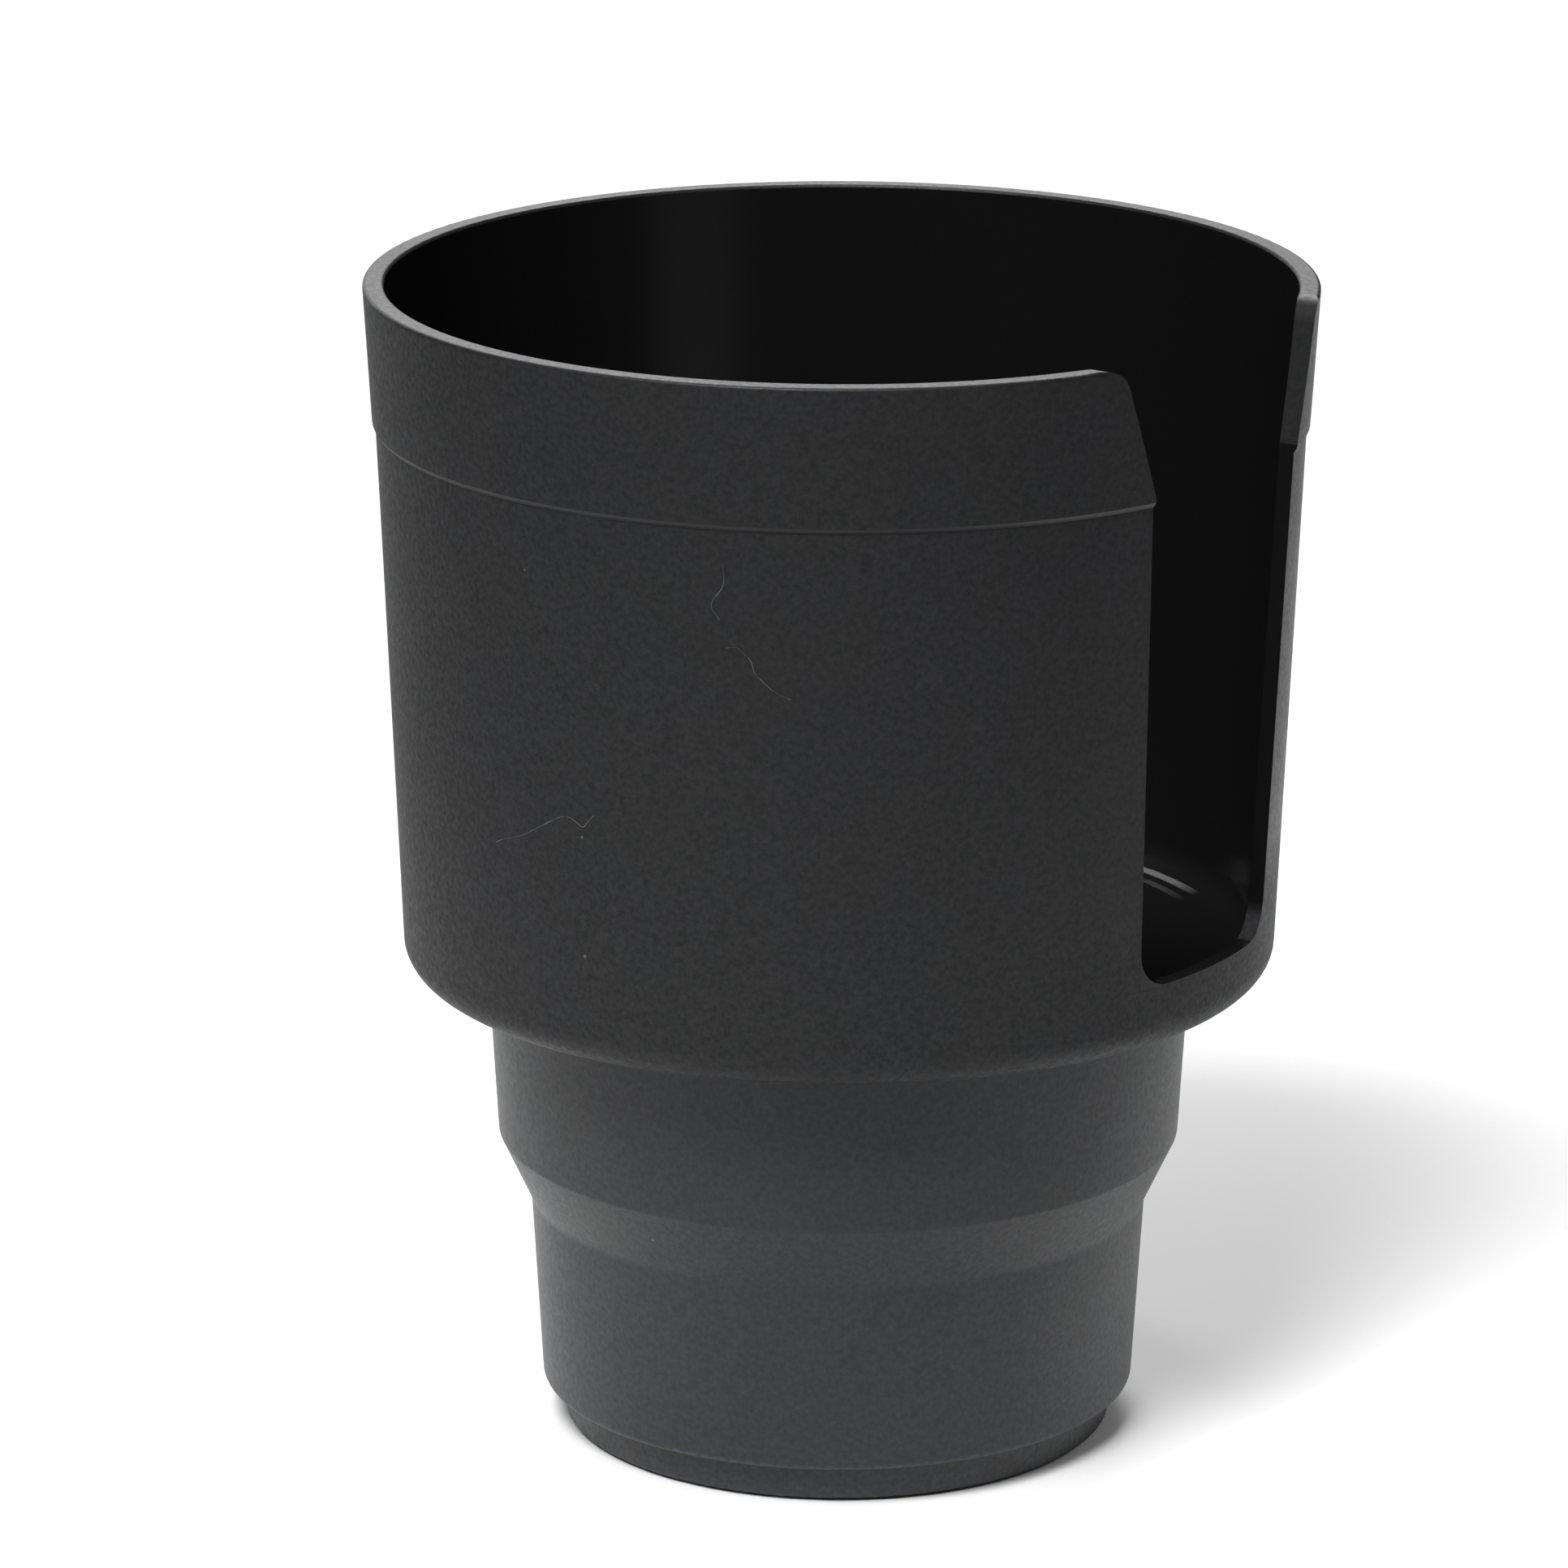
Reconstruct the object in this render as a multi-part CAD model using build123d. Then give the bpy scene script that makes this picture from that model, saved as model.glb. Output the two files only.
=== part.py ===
from build123d import *
import os
from math import radians, tan

# Cup holder expander: a wide cup on a narrower stepped base that stands in a car's cup holder
# Lengths are millimetres and angles are degrees from the axis
# The origin is on the axis, in the plane that the foot stands on, and the handle slot faces +X

# Foot plug
FOOT_STANDOUT = 4.6        # how far the plug stands out below the base
FOOT_INSERT = 8.0          # how far it reaches up inside the base
FOOT_TAPER = 0.35          # how much smaller its radius is at the bottom than in the mouth
FOOT_EDGE = 0.5            # rounding of its bottom edge
FOOT_PAD_HEIGHT = 0.3      # how far the flat pad on its underside stands proud
FOOT_PAD_INSET = 0.9       # how far that pad stays inside its bottom edge
FOOT_DISC = 3.0            # thickness of its closed bottom
FOOT_SKIRT = 2.2           # thickness of its side
FOOT_CLEARANCE = 0.1       # gap between the plug's side and the base's mouth

# Stepped base, from the mouth upwards
LOWER_OUTER_RADIUS = 33.75
MOUTH_LIP = 2.15           # thickness of the base around its mouth
LOWER_HEIGHT = 22.0
STEP_HEIGHT = 7.8
STEP_WIDTH = 3.65
UPPER_HEIGHT = 19.6
BASE_DRAFT = 3.35
BASE_WALL = 2.0
MOUTH_EDGE = 0.8           # rounding of the base's bottom edge
STEP_TOP_EDGE = 0.7        # rounding at the wide end of the step
STEP_FOOT_EDGE = 2.0       # rounding at the narrow end of the step
SEAT_WIDTH = 1.0           # inner ring that stops the plug
SEAT_HEIGHT = 2.0

# Spigot ring under the cup's floor
SPIGOT_HEIGHT = 6.0
SPIGOT_WALL = 1.8
SPIGOT_CLEARANCE = 0.1

# Cup
CUP_FLOOR = 2.0
CUP_DEPTH = 76.6
CUP_WALL = 1.8
CUP_DRAFT = 2.4
CUP_CORNER = 3.5           # outer rounding at the bottom
FLOOR_CORNER = 3.0         # inner rounding at the floor
RIM_DIAMETER = 106.0
RIM_WIDTH = 2.4
RIM_EDGE = 0.4
COLLAR_HEIGHT = 15.4
COLLAR_PROUD = 0.35        # how far the collar's lower edge stands out from the wall
COLLAR_CHAMFER = 0.6       # height of the slope under the collar

# Handle slot
SLOT_SILL = 5.8            # height of its bottom above the cup's floor
SLOT_WIDTH = 25.8          # width at the bottom
SLOT_DRAFT = 2.0
SLOT_CORNER = 4.3
FLARE_DEPTH = 15.0         # how far the flare reaches down from the rim
FLARE_ANGLE = 19.3
FLARE_START_EDGE = 3.0     # rounding where the flare starts
FLARE_RIM_EDGE = 3.4       # rounding where the flare meets the rim
CUT_MARGIN = 6.0           # how far the cutting shape runs past the cup

# Radii that follow
MOUTH_RADIUS = LOWER_OUTER_RADIUS - MOUTH_LIP
RIM_OUTER_RADIUS = RIM_DIAMETER / 2
BORE_RADIUS = RIM_OUTER_RADIUS - RIM_WIDTH

# Heights that follow
BASE_BOTTOM = FOOT_STANDOUT
STEP_FOOT = BASE_BOTTOM + LOWER_HEIGHT
STEP_TOP = STEP_FOOT + STEP_HEIGHT
CUP_UNDERSIDE = STEP_TOP + UPPER_HEIGHT
FLOOR_TOP = CUP_UNDERSIDE + CUP_FLOOR
RIM_TOP = FLOOR_TOP + CUP_DEPTH
COLLAR_LOW = RIM_TOP - COLLAR_HEIGHT
SEAT = BASE_BOTTOM + FOOT_INSERT


def lean(height, draft):
    """Sideways run of a wall that leans by draft over a height."""
    return height * tan(radians(draft))


def base_outer(z):
    """Outer radius of the base at height z, below or above the step."""
    if z <= STEP_FOOT:
        return LOWER_OUTER_RADIUS + lean(z - BASE_BOTTOM, BASE_DRAFT)
    wide_end = base_outer(STEP_FOOT) + STEP_WIDTH
    return wide_end + lean(z - STEP_TOP, BASE_DRAFT)


def cup_inner(z):
    """Inner radius of the cup at height z."""
    return BORE_RADIUS - lean(RIM_TOP - z, CUP_DRAFT)


def half_section(points, roundings):
    """Face in the XZ plane through (radius, height) points, with some of its corners rounded."""
    face = make_face(Polyline(*[(r, 0, z) for r, z in points], close=True))
    for (r, z), radius in roundings:
        corner = face.vertices().sort_by_distance((r, 0, z))[0]
        face = face.face().fillet_2d(radius, [corner])
    return face


def turned(points, roundings):
    """Solid of revolution about the axis."""
    return revolve(half_section(points, roundings), axis=Axis.Z)


def make_foot_plug():
    """Soft plug with a closed bottom on a flat pad, and a skirt that stands up inside the base."""
    side = MOUTH_RADIUS - FOOT_CLEARANCE
    bottom_edge = (side - FOOT_TAPER, FOOT_PAD_HEIGHT)
    pad_radius = side - FOOT_TAPER - FOOT_PAD_INSET
    points = [
        (0, 0),
        (pad_radius, 0),
        (pad_radius, FOOT_PAD_HEIGHT),
        bottom_edge,
        (side, BASE_BOTTOM),
        (side, SEAT),
        (side - FOOT_SKIRT, SEAT),
        (side - FOOT_SKIRT, FOOT_DISC),
        (0, FOOT_DISC),
    ]
    return turned(points, [(bottom_edge, FOOT_EDGE)])


def make_stepped_base():
    """Hollow stem with a narrow lower part, a sloped step, and a wider upper part under the cup."""
    seat_top = SEAT + SEAT_HEIGHT
    seat_inner = MOUTH_RADIUS - SEAT_WIDTH
    step_top_outer = base_outer(STEP_FOOT) + STEP_WIDTH
    mouth_edge = (base_outer(BASE_BOTTOM), BASE_BOTTOM)
    step_foot_edge = (base_outer(STEP_FOOT), STEP_FOOT)
    step_top_edge = (step_top_outer, STEP_TOP)
    points = [
        (MOUTH_RADIUS, BASE_BOTTOM),
        mouth_edge,
        step_foot_edge,
        step_top_edge,
        (base_outer(CUP_UNDERSIDE), CUP_UNDERSIDE),
        (base_outer(CUP_UNDERSIDE) - BASE_WALL, CUP_UNDERSIDE),
        (step_top_outer - BASE_WALL, STEP_TOP),
        (base_outer(STEP_FOOT) - BASE_WALL, STEP_FOOT),
        (base_outer(seat_top) - BASE_WALL, seat_top),
        (seat_inner, seat_top),
        (seat_inner, SEAT),
        (MOUTH_RADIUS, SEAT),
    ]
    roundings = [
        (mouth_edge, MOUTH_EDGE),
        (step_foot_edge, STEP_FOOT_EDGE),
        (step_top_edge, STEP_TOP_EDGE),
    ]
    return turned(points, roundings)


def cup_body():
    """Cup with its rim, collar, floor and the spigot ring below the floor, before the slot is cut."""
    spigot_low = CUP_UNDERSIDE - SPIGOT_HEIGHT
    spigot_fit = BASE_WALL + SPIGOT_CLEARANCE
    spigot_inner = base_outer(spigot_low) - spigot_fit - SPIGOT_WALL
    wall_top = COLLAR_LOW - COLLAR_CHAMFER
    floor_edge = (cup_inner(FLOOR_TOP), FLOOR_TOP)
    rim_inner = (BORE_RADIUS, RIM_TOP)
    rim_outer = (RIM_OUTER_RADIUS, RIM_TOP)
    bottom_edge = (cup_inner(CUP_UNDERSIDE) + CUP_WALL, CUP_UNDERSIDE)
    ledge = bottom_edge[0] - base_outer(CUP_UNDERSIDE)
    points = [
        (0, FLOOR_TOP),
        floor_edge,
        rim_inner,
        rim_outer,
        (cup_inner(COLLAR_LOW) + CUP_WALL + COLLAR_PROUD, COLLAR_LOW),
        (cup_inner(wall_top) + CUP_WALL, wall_top),
        bottom_edge,
        (base_outer(CUP_UNDERSIDE) - spigot_fit, CUP_UNDERSIDE),
        (base_outer(spigot_low) - spigot_fit, spigot_low),
        (spigot_inner, spigot_low),
        (spigot_inner, CUP_UNDERSIDE),
        (0, CUP_UNDERSIDE),
    ]
    roundings = [
        (floor_edge, FLOOR_CORNER),
        (rim_inner, RIM_EDGE),
        (rim_outer, RIM_EDGE),
        (bottom_edge, min(CUP_CORNER, ledge)),
    ]
    return turned(points, roundings)


def slot_cutter():
    """Shape of the handle slot, seen along X: straight sides, rounded bottom, and a flared mouth."""
    sill = FLOOR_TOP + SLOT_SILL
    flare_start = RIM_TOP - FLARE_DEPTH
    half_bottom = SLOT_WIDTH / 2
    half_flare = half_bottom + lean(flare_start - sill, SLOT_DRAFT)
    half_rim = half_flare + lean(FLARE_DEPTH, FLARE_ANGLE)
    half_top = half_rim + CUT_MARGIN
    right = [
        (half_bottom, sill),
        (half_flare, flare_start),
        (half_rim, RIM_TOP),
        (half_top, RIM_TOP),
        (half_top, RIM_TOP + CUT_MARGIN),
    ]
    left = [(-y, z) for y, z in reversed(right)]
    face = make_face(Polyline(*[(0, y, z) for y, z in right + left], close=True))
    for (y, z), radius in zip(right, (SLOT_CORNER, FLARE_START_EDGE, FLARE_RIM_EDGE)):
        pair = [face.vertices().sort_by_distance((0, side * y, z))[0] for side in (-1, 1)]
        face = face.face().fillet_2d(radius, pair)
    return extrude(face, amount=RIM_OUTER_RADIUS + CUT_MARGIN, dir=(1, 0, 0))


def make_cup():
    """Cup with its handle slot, which is open at the rim and stops short of the floor."""
    return cup_body() - slot_cutter()


if __name__ == "__main__":
    os.makedirs("parts", exist_ok=True)
    export_step(make_foot_plug(), "parts/foot_plug.step")
    export_step(make_stepped_base(), "parts/stepped_base.step")
    export_step(make_cup(), "parts/cup.step")
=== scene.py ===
from math import cos, radians, sin, tan

import bpy
from mathutils import Matrix, Vector


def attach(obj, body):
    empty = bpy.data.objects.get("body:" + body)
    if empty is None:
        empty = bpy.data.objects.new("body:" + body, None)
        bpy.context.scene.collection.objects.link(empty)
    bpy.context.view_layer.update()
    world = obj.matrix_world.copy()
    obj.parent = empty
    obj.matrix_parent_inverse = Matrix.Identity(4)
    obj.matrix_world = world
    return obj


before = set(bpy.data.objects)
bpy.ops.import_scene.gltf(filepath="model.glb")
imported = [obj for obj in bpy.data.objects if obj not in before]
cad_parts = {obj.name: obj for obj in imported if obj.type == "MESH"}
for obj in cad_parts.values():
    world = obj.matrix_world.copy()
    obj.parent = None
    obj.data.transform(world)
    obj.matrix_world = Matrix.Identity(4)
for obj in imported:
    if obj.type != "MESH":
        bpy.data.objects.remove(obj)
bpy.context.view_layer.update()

scene = bpy.context.scene

# Camera, fitted to the photograph's outlines
CAMERA_TURN = 33.78        # degrees about the axis, because the handle slot faces +X
CAMERA_PLACE = (-0.006249, -0.847204, 0.320491)
CAMERA_PITCH = 16.201
CAMERA_ROLL = 0.118
CAMERA_LENS = 179.70

# Lamps, with azimuths from the camera's side, angles in degrees, lengths in metres and power in watts:
# name, azimuth, elevation and distance from the target, then the target's azimuth, distance from the axis
# and height, then the lamp's size, power and spread
LAMPS = [
    ("key", -25.0, 56.0, 0.75, (-30.0, 0.05, 0.02), (0.42, 0.42), 0.72, 35.0),
    ("back", 180.0, 55.0, 1.2, (180.0, 0.45, 0.0), (0.9, 0.9), 1.4, 90.0),
    ("far_back", 180.0, 70.0, 1.3, (180.0, 0.9, 0.0), (0.8, 0.8), 5.8, 100.0),
    ("overhead", 180.0, 89.0, 0.9, (180.0, 0.35, 0.0), (0.15, 0.5), 0.19, 30.0),
    ("low_right", 75.0, 45.0, 0.42, (87.7, 0.0364, 0.0), (0.05, 0.05), 0.002, 16.0),
]

# World: a brighter patch in an otherwise dim studio
PATCH_DIRECTION = (-165.0, 12.0)   # azimuth from the camera's side, and elevation
PATCH_EDGE = (0.85, 0.97)          # cosines of the angle from its middle, where it starts and is full
WORLD_LEVELS = (0.1, 1.4)          # strength away from the patch, and in it

# Floor
FLOOR_HALF = 3.0                   # half its width
FLOOR_COLOUR = (0.9, 0.9, 0.9, 1.0)

# Faces of the cup, in metres and degrees
RIM_TOP = 0.1326
BORE_RADIUS = 0.0506
CUP_WALL = 0.0018
CUP_DRAFT = 2.4
BELOW_CUP_FLOOR = 0.055    # a height within the floor's thickness
ABOVE_CUP_FLOOR = 0.0566   # a height just above the floor
SLOT_SILL = 0.0618
SLOT_HALF_SILL = 0.0129
SLOT_DRAFT = 2.0
SLOT_CORNER = 0.0043
FLARE_START = 0.1176       # height at which the slot's flare starts
COLLAR_FOOT = 0.1166       # lower end of the slope under the collar
SKIN = 0.00002             # how far a mask reaches past a face

# Matte part of the slot's corner at +Y, as shares of the corner's radius
MATTE_SIDE = (0.9, 0.6)    # inwards from the slot's side, where it starts and is full
MATTE_RISE = (0.45, 0.85)  # up from the sill, where it starts to fade and ends

# Finish of each node: two tones, roughness, specular level and strength of the grain
FINISHES = {
    "cup": {
        "name": "cup_plastic",
        "plain": (0.0126, 0.0127, 0.0131),
        "bluish": (0.0123, 0.0127, 0.0145),
        "roughness": 0.57,
        "specular": 0.3,
        "grain": 0.9,
    },
    "stepped_base": {
        "name": "base_plastic",
        "plain": (0.0176, 0.0186, 0.0205),
        "bluish": (0.0174, 0.0188, 0.0232),
        "roughness": 0.48,
        "specular": 0.42,
        "grain": 0.6,
    },
    "foot_plug": {
        "name": "foot_rubber",
        "plain": (0.0190, 0.0198, 0.0216),
        "bluish": (0.0188, 0.0200, 0.0228),
        "roughness": 0.48,
        "specular": 0.47,
        "grain": 0.75,
    },
}

# Grain, mottling and dust of all three, with scales in features per metre
GRAIN_SCALE = 1600.0
MOTTLE_SCALE = 70.0
CLOUD_SCALE = 22.0
DUST_SCALE = 150.0
NOISE_RANGE = (0.3, 0.7)          # values that hold nearly all of a noise
MIDDLE_RANGE = (0.35, 0.65)       # narrower, for more contrast between two tones
GRAIN_TONE = 0.5                  # share by which the grain at full strength lightens and darkens
GRAIN_ROUGHNESS = 0.08            # most that the grain at full strength adds or takes away
GRAIN_DEPTH = 0.000018            # metres, at full strength
FLAT_RELIEF = 0.5                 # relief of a face without grain
CLOUD_ROUGHNESS = 0.03            # most that the slow change adds or takes away
CLEAN_CELLS = 0.9                 # share of the cells that hold no speck
DUST_RADII = (0.015, 0.05)        # of the smallest and the largest speck, in cells
DUST_COLOUR = (0.09, 0.09, 0.088)

# Line under the collar, painted as a dark painted shadow with a light painted highlight above it: heights
# above the collar's foot, and colour
COLLAR_SHADOW_AND_HIGHLIGHT = [
    (-0.0001, 0.00025, (0.002, 0.002, 0.002)),
    (0.00025, 0.00062, (0.023, 0.023, 0.024)),
]

# Other details of the cup
INSIDE_COLOUR = (0.0075, 0.0073, 0.0073)
INSIDE_ROUGHNESS = 0.2
SMOOTHER_BY = 0.15                 # how much less rough the smoother faces are
SMOOTHER_ANGLES = (32.0, 42.0)     # degrees from the slot, over which the smoother wall fades out
SMOOTHER_HEIGHTS = (0.065, 0.073)  # heights over which it fades in
RIM_SKIN = 0.0002                  # depth of the rim's smoother top
SEAM_MARGIN = 0.0002               # how far below the slot the turned normals start

# Painted highlight arcs on the cup's floor: radii, angles from the slot in degrees, and colour
FLOOR_HIGHLIGHT_ARCS = [
    ((0.0445, 0.0455), (57.0, 74.5), (0.13, 0.13, 0.135)),
    ((0.0421, 0.0432), (55.0, 66.5), (0.045, 0.045, 0.045)),
]
ARC_FADES = (7.0, 1.5)     # degrees over which an arc fades in and out

# Lint on the outside of the wall, as angles from +X in degrees and heights in millimetres
FIBRES = {
    "fibre_high": [
        (-70.6, 112.9), (-70.3, 111.4), (-70.6, 110.2), (-71.7, 109.1), (-72.1, 108.2), (-71.5, 107.4),
        (-71.0, 106.8),
    ],
    "fibre_long": [
        (-70.2, 103.7), (-69.1, 104.0), (-68.3, 103.4), (-67.1, 102.4), (-66.9, 101.1), (-65.8, 100.2),
        (-64.3, 98.9), (-62.4, 98.3),
    ],
    "fibre_low": [
        (-104.6, 77.4), (-103.2, 78.1), (-100.2, 78.8), (-96.3, 80.8), (-93.5, 82.2), (-92.0, 82.6),
        (-90.5, 81.9), (-89.8, 81.5), (-89.0, 82.4), (-88.2, 83.2),
    ],
}
FIBRE_RADIUS = 0.00004
LINT_SCALE = 600.0
LINT_COLOURS = ((0.04, 0.04, 0.04), (0.15, 0.15, 0.147))

# Sockets of a mix node for each kind of value: first input, second input and result
MIX_SOCKETS = {"FLOAT": (2, 3, 0), "VECTOR": (4, 5, 1), "RGBA": (6, 7, 2)}


def add_camera():
    """Camera at the photograph's viewing angle."""
    data = bpy.data.cameras.new("photo_camera")
    data.sensor_width = 36.0
    data.sensor_fit = "HORIZONTAL"
    data.lens = CAMERA_LENS
    data.clip_start = 0.01
    data.clip_end = 50.0
    camera = bpy.data.objects.new("photo_camera", data)
    scene.collection.objects.link(camera)
    turn = Matrix.Rotation(radians(CAMERA_TURN), 4, "Z")
    tilt = Matrix.Rotation(radians(90.0 - CAMERA_PITCH), 4, "X")
    roll = Matrix.Rotation(radians(CAMERA_ROLL), 4, "Z")
    camera.matrix_world = turn @ Matrix.Translation(CAMERA_PLACE) @ tilt @ roll
    scene.camera = camera


def compass(azimuth, elevation, distance):
    """Point at an azimuth from the camera's side of the axis, an elevation and a distance."""
    turn = Matrix.Rotation(radians(CAMERA_TURN + azimuth), 4, "Z")
    rise = Matrix.Rotation(radians(-elevation), 4, "X")
    return turn @ rise @ Vector((0.0, -distance, 0.0))


def add_area(name, azimuth, elevation, distance, target, size, power, spread):
    """Soft rectangular lamp that looks at a target."""
    data = bpy.data.lights.new(name, "AREA")
    data.shape = "RECTANGLE"
    data.size, data.size_y = size
    data.energy = power
    data.spread = radians(spread)
    lamp = bpy.data.objects.new(name, data)
    scene.collection.objects.link(lamp)
    target_azimuth, target_distance, target_height = target
    aim = compass(target_azimuth, 0.0, target_distance) + Vector((0.0, 0.0, target_height))
    place = aim + compass(azimuth, elevation, distance)
    look = (aim - place).to_track_quat("-Z", "Y")
    lamp.matrix_world = Matrix.Translation(place) @ look.to_matrix().to_4x4()


def add_floor():
    """Plain pale floor."""
    half = FLOOR_HALF
    mesh = bpy.data.meshes.new("floor")
    corners = [(-half, -half, 0), (half, -half, 0), (half, half, 0), (-half, half, 0)]
    mesh.from_pydata(corners, [], [(0, 1, 2, 3)])
    floor = bpy.data.objects.new("floor", mesh)
    scene.collection.objects.link(floor)
    material = bpy.data.materials.new("pale_floor")
    material.use_nodes = True
    shader = material.node_tree.nodes["Principled BSDF"]
    shader.inputs["Base Color"].default_value = FLOOR_COLOUR
    shader.inputs["Roughness"].default_value = 0.9
    shader.inputs["Specular IOR Level"].default_value = 0.1
    mesh.materials.append(material)


def add_world():
    """Dim studio with a brighter patch low behind the object."""
    world = bpy.data.worlds.new("soft_world")
    scene.world = world
    world.use_nodes = True
    tree = world.node_tree
    background = tree.nodes["Background"]
    coords = add_node(tree, "ShaderNodeTexCoord")
    towards = tuple(compass(*PATCH_DIRECTION, 1.0))
    dot = add_node(tree, "ShaderNodeVectorMath", {"operation": "DOT_PRODUCT"},
                   {0: coords.outputs["Generated"], 1: towards})
    ramp = add_node(tree, "ShaderNodeMapRange", {"interpolation_type": "SMOOTHSTEP"},
                    {"Value": dot.outputs["Value"], "From Min": PATCH_EDGE[0], "From Max": PATCH_EDGE[1],
                     "To Min": WORLD_LEVELS[0], "To Max": WORLD_LEVELS[1]})
    tree.links.new(ramp.outputs["Result"], background.inputs["Strength"])
    background.inputs["Color"].default_value = (1.0, 1.0, 1.0, 1.0)


def add_node(tree, kind, settings=None, inputs=None):
    """Add a node; an input given as a socket is linked, and any other is set as a value."""
    made = tree.nodes.new(kind)
    for name, value in (settings or {}).items():
        setattr(made, name, value)
    for name, value in (inputs or {}).items():
        if isinstance(value, bpy.types.NodeSocket):
            tree.links.new(value, made.inputs[name])
        else:
            made.inputs[name].default_value = value
    return made


def math_node(tree, operation, first, second=0.0, clamp=False):
    """Result of one arithmetic step."""
    made = add_node(tree, "ShaderNodeMath", {"operation": operation, "use_clamp": clamp},
                    {0: first, 1: second})
    return made.outputs[0]


def product(tree, *factors):
    """Factors multiplied together."""
    total = factors[0]
    for factor in factors[1:]:
        total = math_node(tree, "MULTIPLY", total, factor)
    return total


def spread_over(tree, value, low, high, to_low, to_high):
    """Value moved from one range to another, and held inside it."""
    made = add_node(tree, "ShaderNodeMapRange", {"clamp": True},
                    {"Value": value, "From Min": low, "From Max": high,
                     "To Min": to_low, "To Max": to_high})
    return made.outputs["Result"]


def noise(tree, place, scale, detail, roughness=0.5):
    """Noise around 0.5 with features about 1 / scale metres wide."""
    made = add_node(tree, "ShaderNodeTexNoise", {},
                    {"Vector": place, "Scale": scale, "Detail": detail, "Roughness": roughness})
    return made.outputs["Fac"]


def mix(tree, kind, factor, first, second, blend="MIX"):
    """Two numbers, vectors or colours mixed by a factor."""
    first_input, second_input, result = MIX_SOCKETS[kind]
    made = add_node(tree, "ShaderNodeMix", {"data_type": kind, "blend_type": blend},
                    {0: factor, first_input: first, second_input: second})
    return made.outputs[result]


def mix_colours(tree, factor, first, second, blend="MIX"):
    """Two colours mixed by a factor, where a colour is a socket or three numbers."""
    pair = [(*value, 1.0) if isinstance(value, tuple) else value for value in (first, second)]
    return mix(tree, "RGBA", factor, *pair, blend)


def grey(tree, value):
    """Colour with the same value in each channel."""
    return add_node(tree, "ShaderNodeCombineColor", {}, {0: value, 1: value, 2: value}).outputs[0]


def split(tree, vector):
    """X, Y and Z of a vector."""
    return add_node(tree, "ShaderNodeSeparateXYZ", {}, {0: vector}).outputs


def from_axis(tree, x, y):
    """Distance from the axis."""
    squares = math_node(tree, "ADD", product(tree, x, x), product(tree, y, y))
    return math_node(tree, "SQRT", squares)


def band(tree, value, low, high):
    """1 between two values, and 0 elsewhere."""
    above = math_node(tree, "GREATER_THAN", value, low)
    return product(tree, above, math_node(tree, "LESS_THAN", value, high))


def below_line(tree, value, height, at_height, start, lean):
    """1 where a value is below a line that starts at a height and leans outwards above it."""
    rise = math_node(tree, "SUBTRACT", height, at_height)
    line = math_node(tree, "ADD", product(tree, rise, tan(radians(lean))), start + SKIN)
    return math_node(tree, "LESS_THAN", value, line)


def matte_corner(tree, y, z):
    """1 on the rounded corner of the slot at +Y, and 0 elsewhere."""
    side_start, side_full = (SLOT_HALF_SILL - share * SLOT_CORNER for share in MATTE_SIDE)
    rise_full, rise_end = (SLOT_SILL + share * SLOT_CORNER for share in MATTE_RISE)
    return product(tree,
                   spread_over(tree, y, side_start, side_full, 0.0, 1.0),
                   spread_over(tree, z, rise_full, rise_end, 1.0, 0.0))


def inner_faces(tree, place):
    """1 on the cup's inner face and floor and on the slot's smooth cut faces, and 0 elsewhere."""
    x, y, z = split(tree, place)
    bore = product(tree,
                   below_line(tree, from_axis(tree, x, y), z, RIM_TOP, BORE_RADIUS, CUP_DRAFT),
                   math_node(tree, "GREATER_THAN", z, BELOW_CUP_FLOOR))
    side = math_node(tree, "ABSOLUTE", y)
    slot = product(tree,
                   below_line(tree, side, z, SLOT_SILL, SLOT_HALF_SILL, SLOT_DRAFT),
                   band(tree, z, SLOT_SILL - SKIN, FLARE_START),
                   math_node(tree, "GREATER_THAN", x, BORE_RADIUS / 2),
                   math_node(tree, "SUBTRACT", 1.0, matte_corner(tree, y, z)))
    return math_node(tree, "MAXIMUM", bore, slot)


def smoother_faces(tree, place):
    """1 on the rim's top and on the wall on both sides of the slot, and 0 elsewhere."""
    x, y, z = split(tree, place)
    angle = math_node(tree, "ABSOLUTE", math_node(tree, "ARCTAN2", y, x))
    fade_start, fade_end = (radians(limit) for limit in SMOOTHER_ANGLES)
    beside = product(tree,
                     spread_over(tree, angle, fade_start, fade_end, 1.0, 0.0),
                     spread_over(tree, z, *SMOOTHER_HEIGHTS, 0.0, 1.0))
    return math_node(tree, "MAXIMUM", beside, math_node(tree, "GREATER_THAN", z, RIM_TOP - RIM_SKIN))


def floor_highlight_arc(tree, place, radii, angles):
    """Share of a painted highlight arc on the cup's floor, between two radii and two angles from the slot.
    """
    x, y, z = split(tree, place)
    angle = math_node(tree, "ARCTAN2", y, x)
    start, stop = angles
    fade_in, fade_out = ARC_FADES
    return product(tree,
                   band(tree, from_axis(tree, x, y), *radii),
                   band(tree, z, BELOW_CUP_FLOOR, ABOVE_CUP_FLOOR),
                   spread_over(tree, angle, radians(start), radians(start + fade_in), 0.0, 1.0),
                   spread_over(tree, angle, radians(stop), radians(stop + fade_out), 1.0, 0.0))


def dust(tree, place):
    """1 on a few small specks, and 0 elsewhere."""
    cells = add_node(tree, "ShaderNodeTexVoronoi", {}, {"Vector": place, "Scale": DUST_SCALE})
    draws = add_node(tree, "ShaderNodeSeparateColor", {}, {0: cells.outputs["Color"]}).outputs
    chosen = math_node(tree, "GREATER_THAN", draws[0], CLEAN_CELLS)
    radius = spread_over(tree, draws[1], 0.0, 1.0, *DUST_RADII)
    return product(tree, chosen, math_node(tree, "LESS_THAN", cells.outputs["Distance"], radius))


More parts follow.
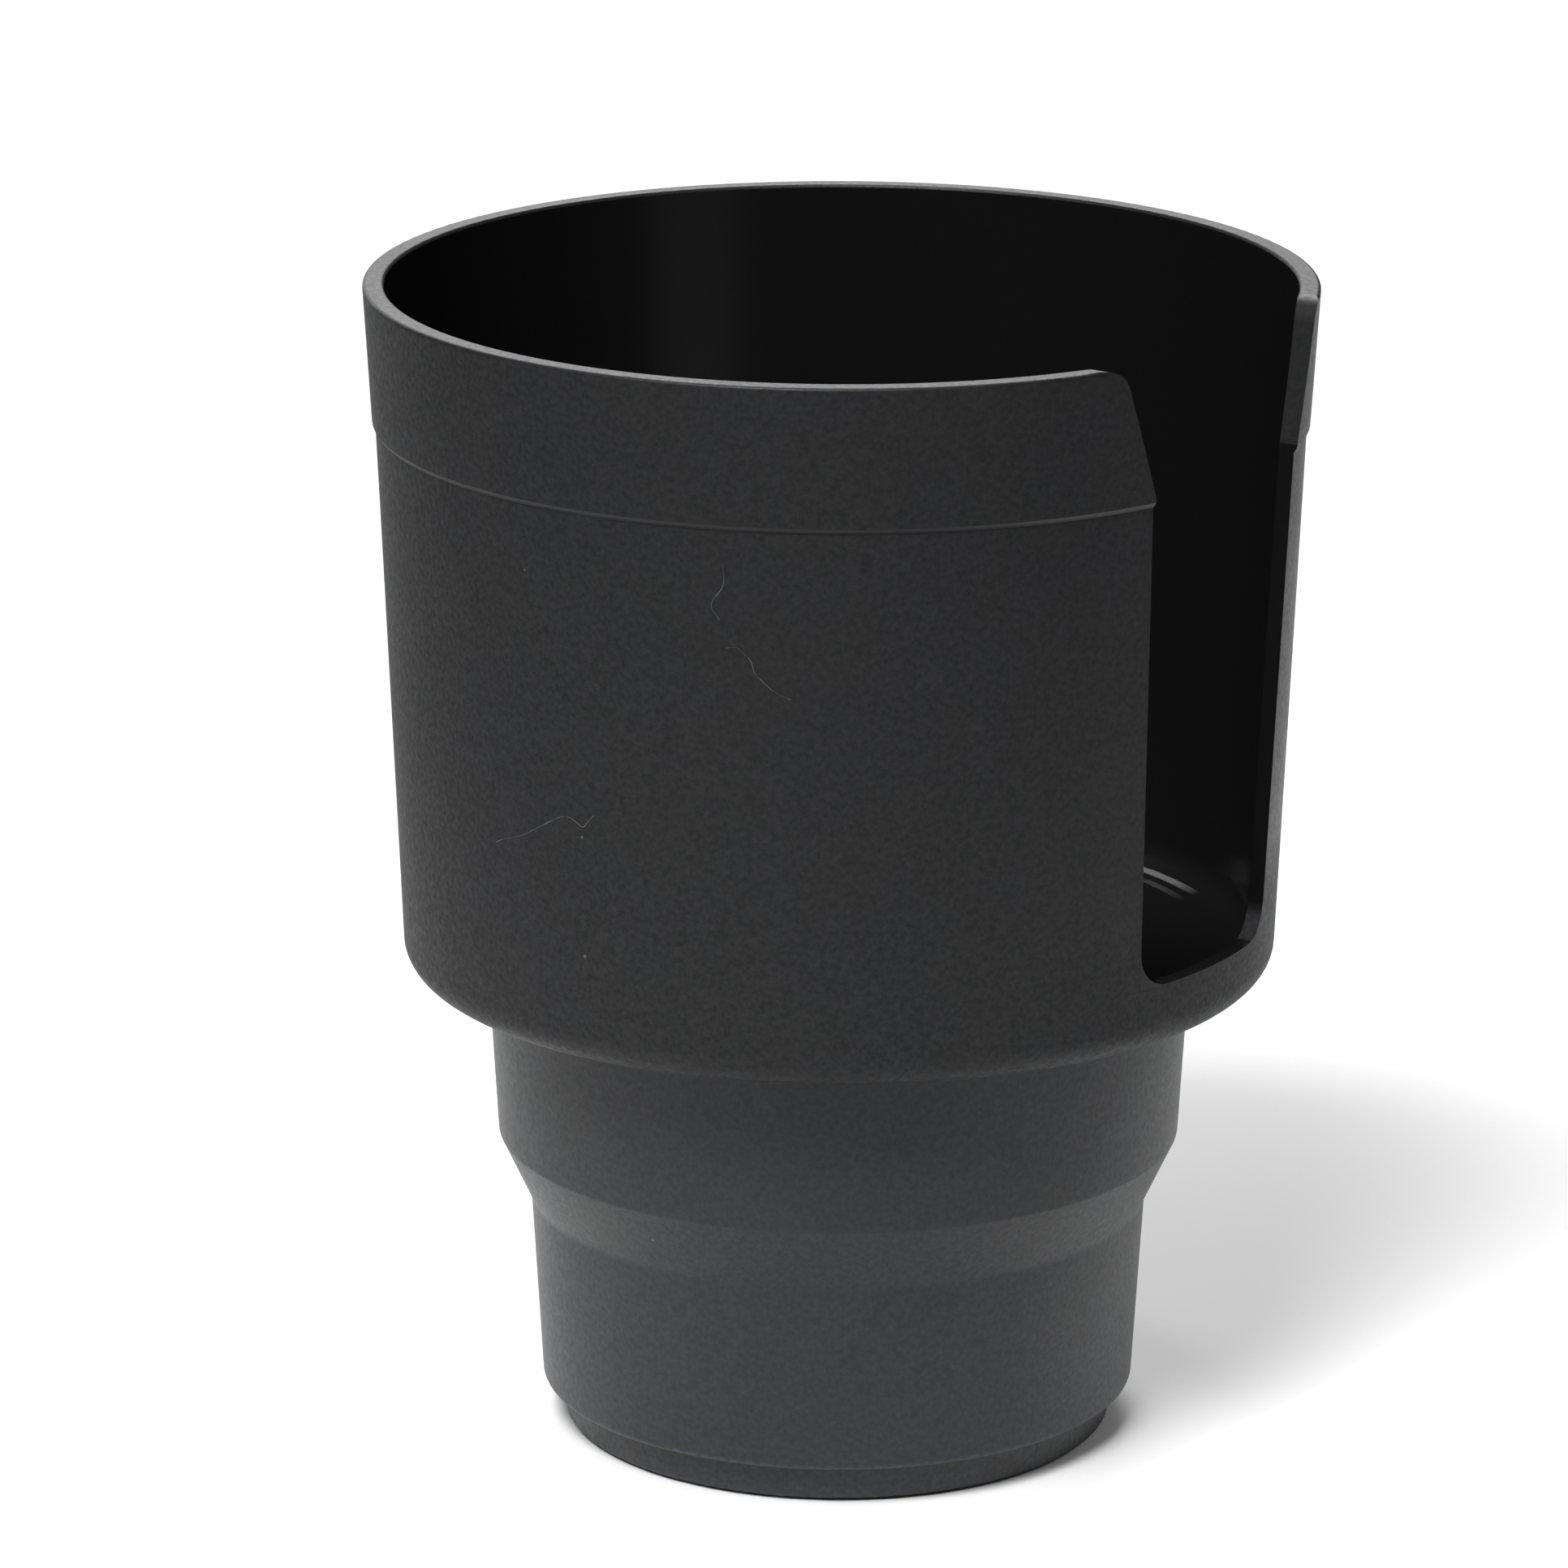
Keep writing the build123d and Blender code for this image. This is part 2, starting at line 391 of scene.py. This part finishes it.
def turned_normal(tree, place):
    """Surface normal, made to point straight away from the axis below the handle slot."""
    normal = add_node(tree, "ShaderNodeNewGeometry").outputs["Normal"]
    nz = split(tree, normal)[2]
    x, y, z = split(tree, place)
    flat = add_node(tree, "ShaderNodeCombineXYZ", {}, {0: x, 1: y, 2: 0.0}).outputs[0]
    outwards = add_node(tree, "ShaderNodeVectorMath", {"operation": "NORMALIZE"}, {0: flat}).outputs[0]
    side = add_node(tree, "ShaderNodeVectorMath", {"operation": "DOT_PRODUCT"}, {0: normal, 1: outwards})
    level = math_node(tree, "SUBTRACT", 1.0, product(tree, nz, nz), clamp=True)
    level = product(tree, math_node(tree, "SQRT", level), math_node(tree, "SIGN", side.outputs["Value"]))
    spoke = add_node(tree, "ShaderNodeVectorMath", {"operation": "SCALE"}, {0: outwards, "Scale": level})
    upwards = add_node(tree, "ShaderNodeCombineXYZ", {}, {0: 0.0, 1: 0.0, 2: nz})
    turned = add_node(tree, "ShaderNodeVectorMath", {"operation": "ADD"},
                      {0: spoke.outputs[0], 1: upwards.outputs[0]})
    below_slot = math_node(tree, "LESS_THAN", z, SLOT_SILL - SEAM_MARGIN)
    return mix(tree, "VECTOR", below_slot, normal, turned.outputs[0])


def cup_details(tree, place, colour, rough, relief):
    """Painted shadow and highlight under the collar, smoother faces, dark inside and painted highlight arcs
    on the floor, laid over the cup's finish.
    """
    height = split(tree, place)[2]
    # the collar line is a painted shadow with a painted highlight above it
    for low, high, tone in COLLAR_SHADOW_AND_HIGHLIGHT:
        colour = mix_colours(tree, band(tree, height, COLLAR_FOOT + low, COLLAR_FOOT + high), colour, tone)
    rough = math_node(tree, "SUBTRACT", rough, product(tree, smoother_faces(tree, place), SMOOTHER_BY))
    inside = inner_faces(tree, place)
    colour = mix_colours(tree, inside, colour, INSIDE_COLOUR)
    rough = mix(tree, "FLOAT", inside, rough, INSIDE_ROUGHNESS)
    relief = mix(tree, "FLOAT", inside, relief, FLAT_RELIEF)
    # the light arcs on the floor are painted highlights
    for radii, angles, tone in FLOOR_HIGHLIGHT_ARCS:
        colour = mix_colours(tree, floor_highlight_arc(tree, place, radii, angles), colour, tone)
    return colour, rough, relief


def moulded(name, plain, bluish, roughness, specular, grain, details=None):
    """Matte moulded surface: fine grain, slow mottling between two tones, uneven sheen and dust."""
    material = bpy.data.materials.new(name)
    material.use_nodes = True
    tree = material.node_tree
    shader = tree.nodes["Principled BSDF"]
    place = add_node(tree, "ShaderNodeTexCoord").outputs["Object"]
    relief = noise(tree, place, GRAIN_SCALE, detail=2.0, roughness=0.6)
    mottle = noise(tree, place, MOTTLE_SCALE, detail=3.0, roughness=0.55)
    cloud = noise(tree, place, CLOUD_SCALE, detail=2.0)
    colour = mix_colours(tree, spread_over(tree, mottle, *MIDDLE_RANGE, 0.0, 1.0), plain, bluish)
    tone = GRAIN_TONE * grain
    shade = grey(tree, spread_over(tree, relief, *NOISE_RANGE, 1.0 - tone, 1.0 + tone))
    colour = mix_colours(tree, 1.0, colour, shade, "MULTIPLY")
    colour = mix_colours(tree, dust(tree, place), colour, DUST_COLOUR)
    rough = spread_over(tree, cloud, *NOISE_RANGE, roughness - CLOUD_ROUGHNESS, roughness + CLOUD_ROUGHNESS)
    change = GRAIN_ROUGHNESS * grain
    rough = math_node(tree, "ADD", rough, spread_over(tree, relief, *NOISE_RANGE, change, -change))
    if details:
        colour, rough, relief = details(tree, place, colour, rough, relief)
    bump = add_node(tree, "ShaderNodeBump", {},
                    {"Strength": 1.0, "Distance": GRAIN_DEPTH * grain, "Height": relief,
                     "Normal": turned_normal(tree, place)})
    tree.links.new(colour, shader.inputs["Base Color"])
    tree.links.new(rough, shader.inputs["Roughness"])
    tree.links.new(bump.outputs["Normal"], shader.inputs["Normal"])
    shader.inputs["Specular IOR Level"].default_value = specular
    return material


def dress(node, material):
    """Give a CAD node its material."""
    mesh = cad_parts[node].data
    mesh.materials.clear()
    mesh.materials.append(material)


def lint():
    """Grey fibre that is lighter in places."""
    material = bpy.data.materials.new("lint_grey")
    material.use_nodes = True
    tree = material.node_tree
    shader = tree.nodes["Principled BSDF"]
    place = add_node(tree, "ShaderNodeTexCoord").outputs["Object"]
    patchy = spread_over(tree, noise(tree, place, LINT_SCALE, detail=1.0), *MIDDLE_RANGE, 0.0, 1.0)
    tree.links.new(mix_colours(tree, patchy, *LINT_COLOURS), shader.inputs["Base Color"])
    shader.inputs["Roughness"].default_value = 0.8
    return material


def wall_point(angle, height):
    """Point on the outside of the cup's wall, with a weight of 1 for the curve."""
    z = height / 1000.0
    radius = BORE_RADIUS + CUP_WALL - (RIM_TOP - z) * tan(radians(CUP_DRAFT)) + FIBRE_RADIUS / 2
    return (radius * cos(radians(angle)), radius * sin(radians(angle)), z, 1.0)


def add_fibre(name, route, material):
    """Thin curved fibre that lies on the cup's wall."""
    data = bpy.data.curves.new(name, "CURVE")
    data.dimensions = "3D"
    data.bevel_depth = FIBRE_RADIUS
    data.bevel_resolution = 1
    spline = data.splines.new("NURBS")
    spline.points.add(len(route) - 1)
    for point, (angle, height) in zip(spline.points, route):
        point.co = wall_point(angle, height)
    spline.order_u = 3
    spline.use_endpoint_u = True
    spline.resolution_u = 6
    data.materials.append(material)
    fibre = bpy.data.objects.new(name, data)
    scene.collection.objects.link(fibre)
    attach(fibre, "root")


add_camera()
add_floor()
for node, finish in FINISHES.items():
    dress(node, moulded(**finish, details=cup_details if node == "cup" else None))
lint_grey = lint()
for name, route in FIBRES.items():
    add_fibre(name, route, lint_grey)
for lamp in LAMPS:
    add_area(*lamp)
add_world()

scene.view_settings.view_transform = "Standard"
